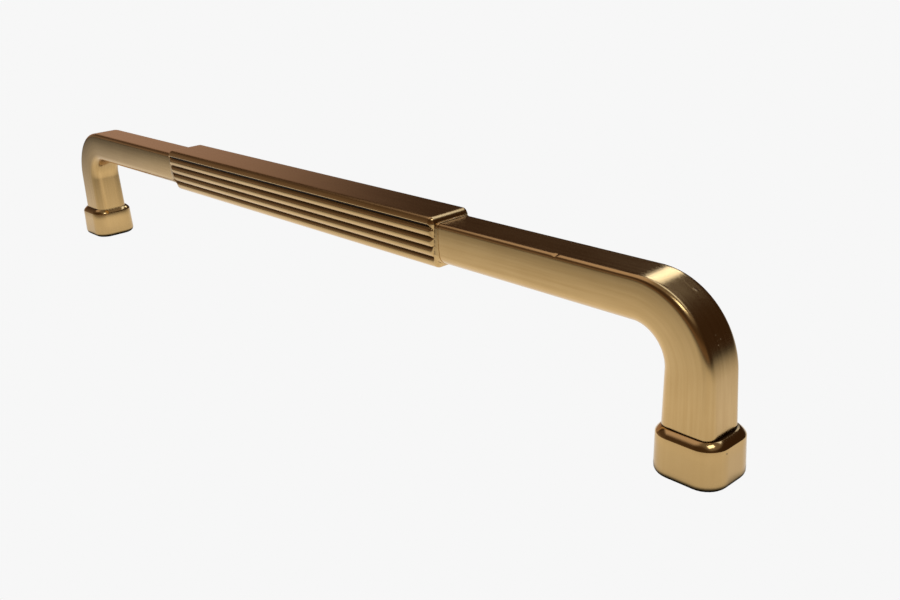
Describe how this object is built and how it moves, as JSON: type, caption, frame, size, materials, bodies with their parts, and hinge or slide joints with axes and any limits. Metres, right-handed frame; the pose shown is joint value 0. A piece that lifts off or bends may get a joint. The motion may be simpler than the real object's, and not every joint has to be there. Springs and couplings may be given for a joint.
{
  "type": "cabinet pull",
  "caption": "Long cabinet pull in satin brass finish: a soft-cornered bar with a reeded grip, bent down to legs that stand in polished rounded foot collars.",
  "frame": {"origin": "middle of the pull on the mounting plane, halfway between the two feet", "axes": "+X along the bar, +Y across the bar, +Z away from the door or drawer front"},
  "size_m": [0.2716, 0.0142, 0.0395],
  "materials": {
    "satin_brass": "satin brushed along the bar and legs, polished on the collars' shoulders"
  },
  "bodies": {
    "root": {"handle_casting": "satin_brass"}
  },
  "joints": []
}
